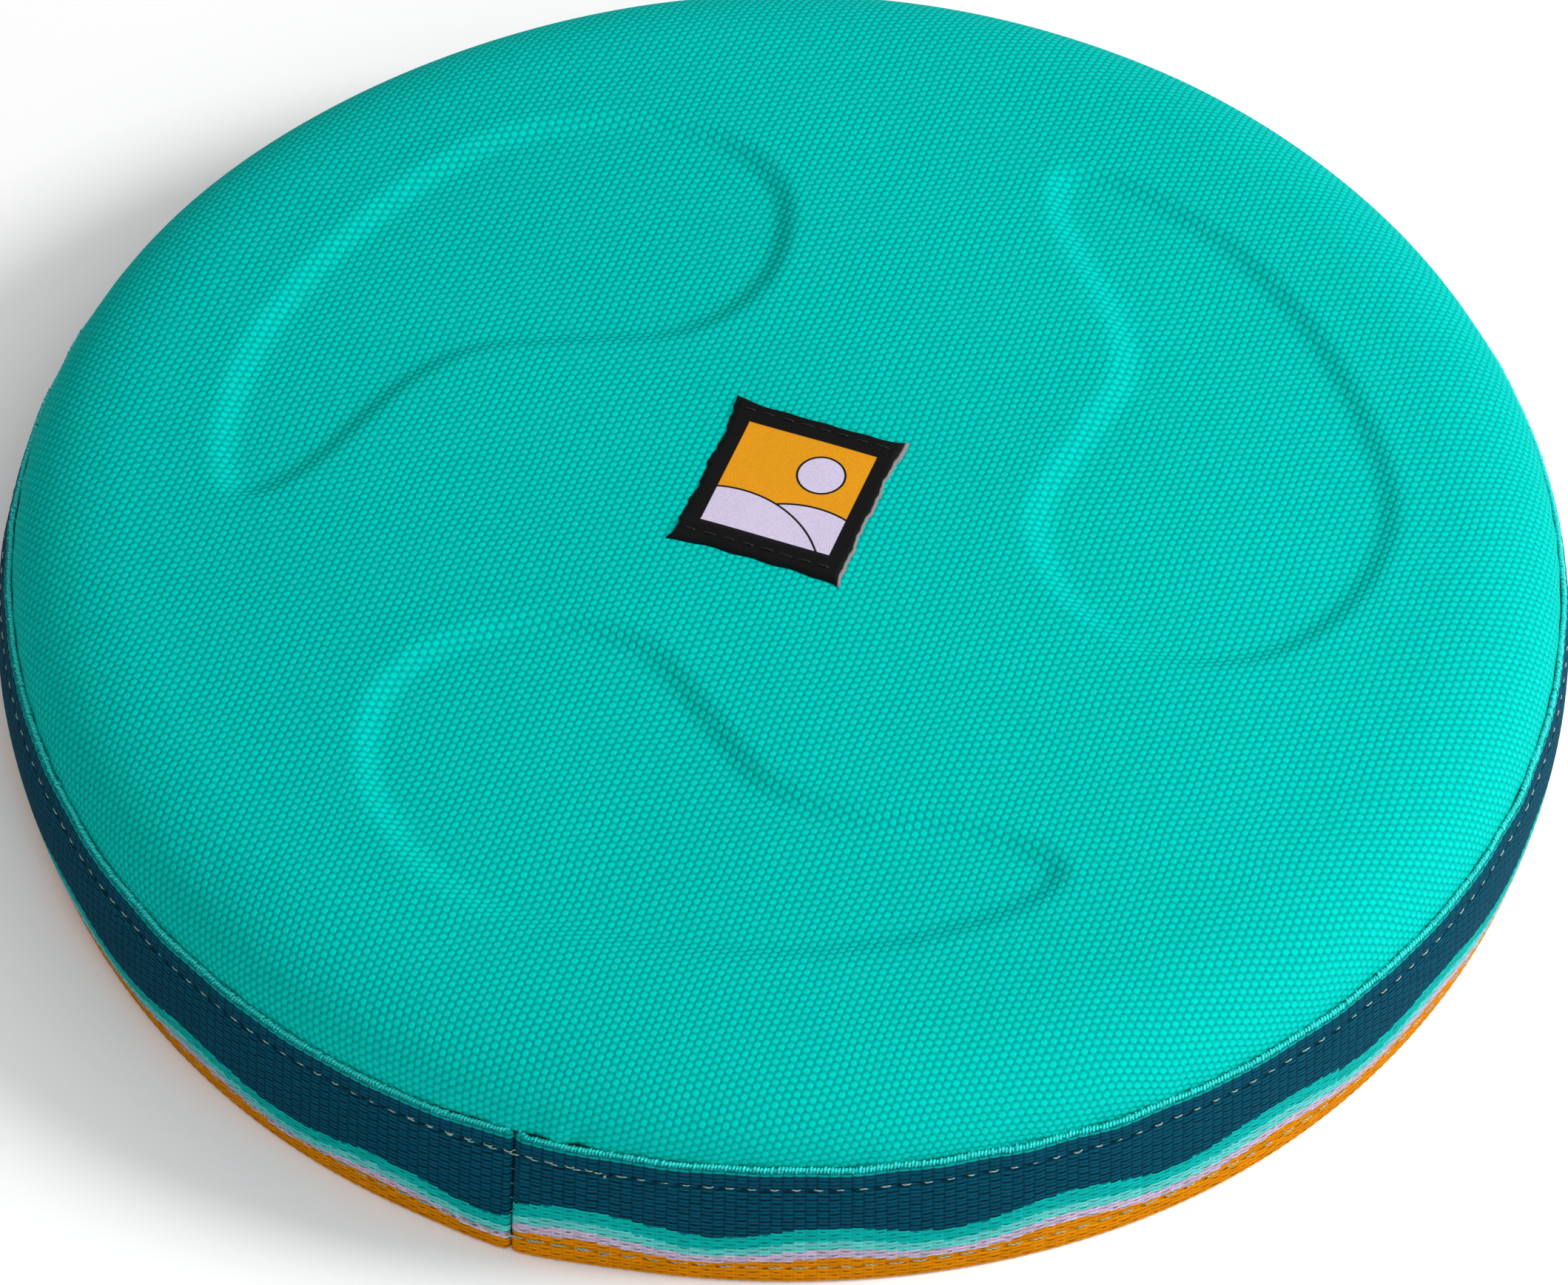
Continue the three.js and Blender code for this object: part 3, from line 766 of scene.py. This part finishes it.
class Graph:
    """Short calls for building a material's nodes. A value may be a number or a node's output."""

    def __init__(self, name):
        self.material = bpy.data.materials.new(name)
        self.material.use_nodes = True
        self.tree = self.material.node_tree
        self.shader = self.tree.nodes["Principled BSDF"]

    def put(self, socket, value):
        if isinstance(value, bpy.types.NodeSocket):
            self.tree.links.new(value, socket)
        elif value is not None:
            socket.default_value = value

    def math(self, operation, a, b=None):
        node = self.tree.nodes.new("ShaderNodeMath")
        node.operation = operation
        self.put_all(node, a, b)
        return node.outputs[0]

    def put_all(self, node, *values):
        for socket, value in zip(node.inputs, values):
            self.put(socket, value)

    def plus(self, a, b):
        return self.math("ADD", a, b)

    def minus(self, a, b):
        return self.math("SUBTRACT", a, b)

    def times(self, first, *others):
        product = first
        for value in others:
            product = self.math("MULTIPLY", product, value)
        return product

    def over(self, a, b):
        return self.math("DIVIDE", a, b)

    def distance(self, a, b):
        return self.math("ABSOLUTE", self.minus(a, b))

    def mix(self, share, a, b):
        node = self.tree.nodes.new("ShaderNodeMix")
        node.data_type = "RGBA"
        self.put(node.inputs[0], share)
        self.put(node.inputs[6], a)
        self.put(node.inputs[7], b)
        return node.outputs[2]

    def scale_colour(self, colour, by):
        node = self.tree.nodes.new("ShaderNodeVectorMath")
        node.operation = "SCALE"
        self.put(node.inputs[0], colour)
        self.put(node.inputs[3], by)
        return node.outputs[0]

    def step(self, value, low, high, to_low=0.0, to_high=1.0, smooth=True):
        """Eases from one value to another while the first argument passes from low to high."""
        node = self.tree.nodes.new("ShaderNodeMapRange")
        node.interpolation_type = "SMOOTHSTEP" if smooth else "LINEAR"
        self.put_all(node, value, low, high, to_low, to_high)
        return node.outputs[0]

    def ramp(self, value, low, high, to_low, to_high):
        """The same in a straight line."""
        return self.step(value, low, high, to_low, to_high, smooth=False)

    def attribute(self, name):
        """A named point attribute as a vector, and its first two numbers."""
        node = self.tree.nodes.new("ShaderNodeAttribute")
        node.attribute_name = name
        split = self.tree.nodes.new("ShaderNodeSeparateXYZ")
        self.put(split.inputs[0], node.outputs["Vector"])
        return node.outputs["Vector"], split.outputs[0], split.outputs[1]

    def vector(self, x, y, z=0.0):
        node = self.tree.nodes.new("ShaderNodeCombineXYZ")
        self.put_all(node, x, y, z)
        return node.outputs[0]

    def noise(self, vector, scale, detail=2.0):
        node = self.tree.nodes.new("ShaderNodeTexNoise")
        self.put(node.inputs["Vector"], vector)
        node.inputs["Scale"].default_value = scale
        node.inputs["Detail"].default_value = detail
        return node.outputs["Fac"]

    def cell_noise(self, x, y):
        node = self.tree.nodes.new("ShaderNodeTexWhiteNoise")
        node.noise_dimensions = "2D"
        self.put(node.inputs["Vector"], self.vector(x, y))
        return node.outputs["Value"]

    def bump(self, height, depth):
        """Surface relief whose full depth is given in millimetres."""
        node = self.tree.nodes.new("ShaderNodeBump")
        self.put(node.inputs["Height"], height)
        node.inputs["Distance"].default_value = depth * MM
        node.inputs["Strength"].default_value = 1.0
        return node.outputs["Normal"]

    def checker_wave(self, u, v):
        """Plain weave over yarn counts u and v: 1 on a yarn's hump, -1 in the pit beside it."""
        a = self.math("COSINE", self.times(u, math.pi))
        b = self.math("COSINE", self.times(v, math.pi))
        return self.times(a, b)

    def packed_wave(self, u, v):
        """Close-packed oval humps over yarn counts u and v: about 3 on a hump, -1.5 where three meet."""
        rows = self.math("COSINE", self.times(v, 2 * math.pi))
        humps = self.times(self.checker_wave(u, v), 1.85)
        return self.plus(humps, self.times(rows, 1.05))

    def hump_cell(self, u, v):
        """A number that is the same all over one hump, for per-hump variation."""
        a = self.math("ROUND", self.times(self.plus(u, v), 0.5))
        b = self.math("ROUND", self.times(self.minus(u, v), 0.5))
        return self.cell_noise(a, b)

    def finish(self, colour, roughness, specular, normal=None):
        self.put(self.shader.inputs["Base Color"], colour)
        self.put(self.shader.inputs["Roughness"], roughness)
        if normal is not None:
            self.put(self.shader.inputs["Normal"], normal)
        self.shader.inputs["Specular IOR Level"].default_value = specular
        return self.material


def woven_cloth(name, yarns, turn, pit, mid, hump, relief):
    """Cloth on the "cloth" coordinates: close-packed oval humps, as if lit from one side, with a painted
    highlight on the lit side of each hump and painted shade in a pit below each."""
    g = Graph(name)
    vector, x, y = g.attribute("cloth")
    drift = g.noise(vector, 0.045)
    drift_across = g.noise(g.vector(y, x, 7.0), 0.05)
    c, s = math.cos(turn), math.sin(turn)
    along = g.plus(g.times(x, c), g.times(y, s))
    across = g.minus(g.times(y, c), g.times(x, s))
    u = g.plus(g.over(along, yarns[0]), g.times(drift, 2.2))
    v = g.plus(g.over(across, yarns[1]), g.times(drift_across, 2.0))
    wave = g.packed_wave(u, v)
    cell = g.hump_cell(u, v)
    fibre = g.noise(g.vector(g.times(u, 5.0), g.times(v, 1.2)), 1.0)
    # Painted highlight: the humps take the lighter colour on a copy of the hump pattern shifted to one
    # side, as if lit from the right. The random shift per hump is the cloth's own tone.
    painted_highlight = g.packed_wave(g.minus(u, 0.22), g.plus(v, 0.05))
    painted_highlight = g.plus(painted_highlight, g.times(g.minus(cell, 0.5), 1.2))
    # Painted shade in the pits between the humps, darker on each pit's lower side.
    below = g.step(g.math("SINE", g.times(v, 2 * math.pi)), 0.5, -0.6, 0.35, 1.0)
    shaded_gap = g.times(g.step(wave, -0.6, -1.4), below)
    colour = g.mix(g.step(painted_highlight, -1.2, 1.9), mid, hump)
    colour = g.mix(shaded_gap, colour, pit)
    patchy = g.noise(vector, 0.02, 3.0)
    tone = g.times(g.ramp(patchy, 0.3, 0.7, 0.97, 1.03), g.ramp(fibre, 0.2, 0.8, 0.95, 1.05))
    height = g.plus(g.step(wave, -1.5, 1.0), g.times(fibre, 0.1))
    height = g.times(height, g.ramp(cell, 0.0, 1.0, 0.8, 1.1))
    return g.finish(g.scale_colour(colour, tone), 0.8, 0.02, g.bump(height, relief))


def webbing_bands(g, middle, level, height):
    """Colour of the band a yarn lies in, and whether it is navy or lilac there."""
    phase = g.times(g.minus(middle, BAND_WAVE_START), 2 * math.pi / BAND_WAVE_LENGTH)
    wave = g.math("COSINE", phase)
    slow = g.math("COSINE", g.times(middle, math.pi / RIM_LENGTH))
    colour = srgb(*NAVY)
    borders = []
    for k, (border, swing, drift, below) in enumerate(BANDS):
        rough = g.minus(g.noise(g.vector(middle, 3.0 + 6.0 * k), 0.07, 1.0), 0.5)
        wander = g.plus(g.times(wave, swing), g.times(slow, drift))
        wander = g.plus(wander, g.times(rough, swing * 1.2))
        borders.append(g.plus(wander, border))
        colour = g.mix(g.math("LESS_THAN", level, borders[-1]), colour, srgb(*below))
    at_top = g.step(height, RIM_HEIGHT - 1.5, RIM_HEIGHT - 1.2)
    colour = g.mix(at_top, colour, srgb(*TOP_EDGE_TEAL))
    navy = g.math("GREATER_THAN", level, borders[0])
    lilac = g.times(g.math("LESS_THAN", level, borders[2]), g.math("GREATER_THAN", level, borders[3]))
    return colour, navy, lilac


def webbing_gaps_and_shade(g, column, line, off_column, off_line, navy, height):
    """How open the weave is between two floats, for the relief and for the painted shade in the gaps:
    strong and weak gaps lie on a checkerboard.
    """
    weak = g.math("MODULO", g.math("ABSOLUTE", g.plus(column, line)), 2.0)
    cell = g.cell_noise(column, line)
    thick = g.times(
        g.step(weak, 0.0, 1.0, 0.25, 0.14),
        g.ramp(cell, 0.0, 1.0, 0.75, 1.25),
        g.step(navy, 0.0, 1.0, 0.75, 1.0),
    )
    reach = g.minus(g.step(navy, 0.0, 1.0, 0.38, 0.53), g.times(cell, 0.12))
    faint = g.step(navy, 0.0, 1.0, 0.22, 0.34)
    return g.times(
        g.step(off_line, thick, g.times(thick, 0.45)),
        g.step(off_column, reach, g.minus(reach, 0.14)),
        g.step(weak, 0.0, 1.0, 1.0, faint),
        g.ramp(g.cell_noise(line, column), 0.0, 1.0, 0.65, 1.0),
        g.step(height, UPPER_ROW_Z + 0.4, UPPER_ROW_Z + 1.0, 1.0, 0.55),
    )


def needle_hole_shade(g, along, height):
    """Painted shade in the needle holes of the webbing, 0 to 0.7, between the stitches of both rows."""
    rows = (
        (UPPER_ROW_Z, UPPER_STITCH, UPPER_START, 0.7),
        (LOWER_ROW_Z, LOWER_STITCH, LOWER_START, 0.45),
    )
    pits = []
    for row_z, (pitch, shown), start, dark in rows:
        pitch = RIM_LENGTH / round(RIM_LENGTH / pitch)
        phase = g.math("FRACT", g.over(g.minus(along, start), pitch))
        between = g.step(g.distance(phase, (1 + shown) / 2), (1 - shown) / 2 + 0.02, 0.02)
        pits.append(g.times(between, g.step(g.distance(height, row_z), 0.42, 0.12), dark))
    return g.math("MAXIMUM", pits[0], pits[1])


def webbing_material():
    """Banded webbing: each yarn of a rib takes the colour of the band its middle lies in, and gaps with
    painted shade stand between the floats, one rib shifted against the next; each float has a painted
    highlight along its middle and painted shade at its rib's sides."""
    g = Graph("webbing")
    _, along, height = g.attribute("web")
    u = g.over(along, WEBBING_RIB)
    column = g.math("ROUND", u)
    lean = g.minus(g.cell_noise(column, 5.0), 0.5)
    tilt = g.times(g.minus(u, column), g.times(lean, 0.5))
    v = g.plus(g.over(height, WEBBING_ROW), tilt)
    line = g.math("ROUND", v)
    yarn = g.math("ROUND", g.times(v, 2.0))
    level = g.times(yarn, WEBBING_ROW / 2)
    colour, navy, lilac = webbing_bands(g, g.times(column, WEBBING_RIB), level, height)

    off_line, off_column = g.distance(v, line), g.distance(u, column)
    shaded_gap = webbing_gaps_and_shade(g, column, line, off_column, off_line, navy, height)
    # Painted highlight along each float's middle, and painted shade at the sides of each rib.
    belly_height_and_highlight = g.step(off_line, 0.1, 0.4)
    rib = g.step(off_column, 0.5, 0.3)
    fibre = g.noise(g.vector(g.times(along, 0.7), g.times(height, 9.0)), 1.0)
    streak = g.step(fibre, 0.56, 0.34, 0.0, 0.45)

    def by_band(other, in_navy):
        return g.step(navy, 0.0, 1.0, other, in_navy)

    # Painted light and shade: shade in the gaps, at the sides of each rib and in the needle holes, and a
    # highlight along each float's middle, all stronger in the navy band. The random tone per float and the
    # fibre and lilac streaks are the yarns' own.
    tone = g.times(
        g.minus(1.0, g.times(shaded_gap, by_band(0.62, 0.82))),
        g.step(belly_height_and_highlight, 0.0, 1.0, by_band(0.92, 0.82), by_band(1.06, 1.14)),
        g.step(rib, 0.0, 1.0, by_band(0.93, 0.6), 1.04),
        g.ramp(g.cell_noise(column, line), 0.0, 1.0, 0.9, 1.12),
        g.ramp(fibre, 0.25, 0.75, by_band(0.9, 0.78), 1.12),
        g.minus(1.0, g.times(lilac, streak)),
        g.minus(1.0, needle_hole_shade(g, along, height)),
    )
    relief = g.minus(g.plus(belly_height_and_highlight, g.times(fibre, 0.35)), shaded_gap)
    return g.finish(g.scale_colour(colour, tone), 0.75, 0.03, g.bump(relief, 0.2))


def thread_material(name, light, dark):
    """Twisted thread: fine slanting strands along the "thread" coordinates, with a painted highlight on
    each strand and painted shade between strands.
    """
    g = Graph(name)
    vector, along, turn = g.attribute("thread")
    twist = g.plus(g.times(along, 2 * math.pi / THREAD_TWIST), g.times(turn, 2.0))
    # Painted highlight and shade: the light colour on the strands and the dark colour between them are one
    # thread, lit and shaded.
    share = g.step(g.math("SINE", twist), -1.0, 0.6)
    soft = g.ramp(g.noise(vector, 1.4), 0.2, 0.8, 0.85, 1.12)
    colour = g.scale_colour(g.mix(share, srgb(*dark), srgb(*light)), soft)
    return g.finish(colour, 0.5, 0.35, g.bump(share, 0.05))


def label_motif(g, x, y):
    """Orange field with a plain sun over two hills, each outlined in black."""
    colour = srgb(*LABEL_ORANGE)
    for cx, cy, radius in (SUN, BACK_HILL, FRONT_HILL):
        dx, dy = g.minus(x, cx), g.minus(y, cy)
        away = g.minus(g.math("SQRT", g.plus(g.times(dx, dx), g.times(dy, dy))), radius)
        outline, inside = g.step(away, 0.42, 0.28), g.step(away, 0.07, -0.07)
        colour = g.mix(outline, colour, srgb(*LABEL_BLACK))
        colour = g.mix(inside, colour, srgb(*LABEL_LILAC))
    return colour


def label_material():
    """Satin-woven patch: black border, orange field, and a plain hill-and-sun motif."""
    g = Graph("label")
    _, x, y = g.attribute("label")
    side = g.minus(LABEL_WIDTH / 2, g.math("ABSOLUTE", x))
    end = g.minus(LABEL_LENGTH / 2, g.math("ABSOLUTE", y))
    border = g.math("MAXIMUM", g.step(side, 3.05, 2.9), g.step(end, 4.15, 4.0))
    colour = g.mix(border, label_motif(g, x, y), srgb(*LABEL_BLACK))
    # Painted highlight: the right-hand edge of the black label is lightened to grey, as if catching the
    # light from the right.
    lit_edge_highlight = g.times(g.step(side, 0.5, 0.25), g.step(x, 0.0, 0.1), 0.75)
    colour = g.mix(lit_edge_highlight, colour, srgb(150, 150, 150))
    u = g.over(g.plus(x, g.times(y, 0.35)), 0.17)
    v = g.over(y, 0.2)
    wave = g.checker_wave(u, v)
    speck = g.cell_noise(g.math("ROUND", u), g.math("ROUND", v))
    tone = g.times(g.ramp(wave, -1.0, 1.0, 0.84, 1.06), g.ramp(speck, 0.0, 1.0, 0.94, 1.06))
    return g.finish(g.scale_colour(colour, tone), 0.6, 0.12, g.bump(wave, 0.04))


def foam_material():
    """Closed-cell foam with a fine pebbled skin."""
    g = Graph("foam")
    geometry = g.tree.nodes.new("ShaderNodeTexCoord").outputs["Object"]
    cells = g.tree.nodes.new("ShaderNodeTexVoronoi")
    g.put(cells.inputs["Vector"], geometry)
    cells.inputs["Scale"].default_value = 900
    grain = cells.outputs["Distance"]
    colour = g.mix(g.step(grain, 0.1, 0.7), srgb(38, 42, 46), srgb(56, 61, 66))
    return g.finish(colour, 0.85, 0.2, g.bump(grain, 0.1))


def floor_material():
    return Graph("floor").finish(srgb(253, 253, 253), 0.9, 0.0)


# ---------------------------------------------------------------- stage


def look_along(back, roll):
    """Rotation of a camera whose back points along a unit vector, rolled about its axis."""
    right = Vector((0, 0, 1)).cross(back).normalized()
    up = back.cross(right)
    turned_right = right * math.cos(roll) + up * math.sin(roll)
    turned_up = up * math.cos(roll) - right * math.sin(roll)
    return Matrix((turned_right, turned_up, back)).transposed()


def build_camera():
    """The camera, at the photograph's viewing angle."""
    back = Vector((0, -math.cos(CAMERA_ELEVATION), math.sin(CAMERA_ELEVATION)))
    data = bpy.data.cameras.new("camera")
    data.sensor_width = SENSOR_WIDTH
    data.lens = LENS
    data.shift_x, data.shift_y = SHIFT_X, SHIFT_Y
    data.clip_start, data.clip_end = 0.05, 20
    camera = bpy.data.objects.new("camera", data)
    place = Matrix.Translation(back * CAMERA_DISTANCE)
    camera.matrix_world = place @ look_along(back, CAMERA_ROLL).to_4x4()
    bpy.context.scene.collection.objects.link(camera)
    bpy.context.scene.camera = camera


def area_light(name, place, size, power):
    """A round light aimed at the middle of the disc."""
    data = bpy.data.lights.new(name, "AREA")
    data.shape = "DISK"
    data.size = size
    data.energy = power
    light = bpy.data.objects.new(name, data)
    light.location = place
    aim = Vector(LIGHT_AIM) - Vector(place)
    light.rotation_euler = aim.to_track_quat("-Z", "Y").to_euler()
    bpy.context.scene.collection.objects.link(light)


def build_surroundings():
    """Even light that is stronger from the right and above, behind a plain pale backdrop."""
    world = bpy.data.worlds.new("studio")
    world.use_nodes = True
    nodes, links = world.node_tree.nodes, world.node_tree.links
    background = nodes["Background"]
    background.inputs["Color"].default_value = (1, 1, 1, 1)
    towards = nodes.new("ShaderNodeVectorMath")
    towards.operation = "DOT_PRODUCT"
    towards.inputs[1].default_value = Vector(BRIGHT_SIDE).normalized()
    links.new(nodes.new("ShaderNodeTexCoord").outputs["Generated"], towards.inputs[0])
    spread = nodes.new("ShaderNodeMapRange")
    for socket, value in zip(spread.inputs[1:], (-0.85, 0.9, DIM_LIGHT, BRIGHT_LIGHT)):
        socket.default_value = value
    links.new(towards.outputs["Value"], spread.inputs[0])
    seen = nodes.new("ShaderNodeMix")
    links.new(nodes.new("ShaderNodeLightPath").outputs["Is Camera Ray"], seen.inputs[0])
    links.new(spread.outputs[0], seen.inputs[2])
    seen.inputs[3].default_value = BACKDROP_LIGHT
    links.new(seen.outputs[0], background.inputs["Strength"])
    bpy.context.scene.world = world


def build_stage():
    """Pale floor, bright even surroundings and a soft key light from the right."""
    half = FLOOR_SIZE / 2
    corners = [(x, y, FLOOR_Z) for x, y in ((-half, -half), (half, -half), (half, half), (-half, half))]
    floor = make_mesh("floor", corners, [[0, 1, 2, 3]], smooth=False)
    floor.data.materials.append(floor_material())
    build_surroundings()
    area_light("key", (0.95, -0.05, 0.72), 0.35, 10.0)
    area_light("fill", (0.1, -1.0, 0.9), 0.9, 2.5)
    bpy.context.scene.view_settings.view_transform = "Standard"


# ---------------------------------------------------------------- assembly


def dress(piece, material, slot, *nodes):
    """Gives a piece its material, hangs it under the root body and hides the CAD nodes it stands for."""
    piece.data.materials.clear()
    piece.data.materials.append(material)
    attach(piece, "root")
    if nodes:
        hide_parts(*nodes)
    return piece


# Each weave's three colours: painted shade for its pits, its own colour, and a painted highlight for its
# humps.
cover_weave = woven_cloth(
    "cover_weave", COVER_YARNS, COVER_WEAVE_TURN,
    srgb(0, 141, 131), srgb(0, 176, 167), srgb(0, 196, 185), 0.11,
)
lining_weave = woven_cloth(
    "lining_weave", LINING_YARNS, 0.0,
    srgb(0, 96, 92), srgb(0, 128, 123), srgb(2, 150, 143), 0.12,
)
# Each thread's colours: the painted highlight of its strands, then the painted shade between them.
rim_thread = thread_material("rim_thread", (172, 188, 174), (104, 132, 120))
joint_yarn = thread_material("joint_thread", (60, 150, 148), (10, 84, 88))
black_thread = thread_material("label_thread", (38, 37, 42), (10, 10, 12))
teal_yarn = thread_material("selvage_yarn", (34, 216, 210), (0, 184, 180))
orange_yarn = thread_material("lower_selvage_yarn", (216, 138, 0), (140, 84, 2))

dress(build_cover(), cover_weave, "cover_fabric", "top_cover")
dress(build_foam(), foam_material(), "foam", "foam_core")
dress(build_lining(), lining_weave, "lining_fabric", "underside_lining")
dress(build_webbing(), webbing_material(), "webbing", "rim_webbing")
upper_edge = build_selvage("upper_selvage_loops", RIM_HEIGHT - 0.6, (0.24, 0.32), 0.25, 1.0)
lower_edge = build_selvage("lower_selvage_loops", 0.6, (0.26, 0.26), 0.17, 0.0)
dress(upper_edge, teal_yarn, "webbing")
dress(lower_edge, orange_yarn, "webbing")
for node, piece in build_rim_threads().items():
    dress(piece, joint_yarn if node == "joint_thread" else rim_thread, "rim_thread", node)
dress(build_label(), label_material(), "label", "woven_label")
for side, node, seed in ((1, "label_top_thread", 51), (-1, "label_bottom_thread", 52)):
    piece = thread_piece(node.replace("thread", "stitches"), [label_row(side, seed)], settled=False)
    dress(piece, black_thread, "label_thread", node)

build_stage()
build_camera()
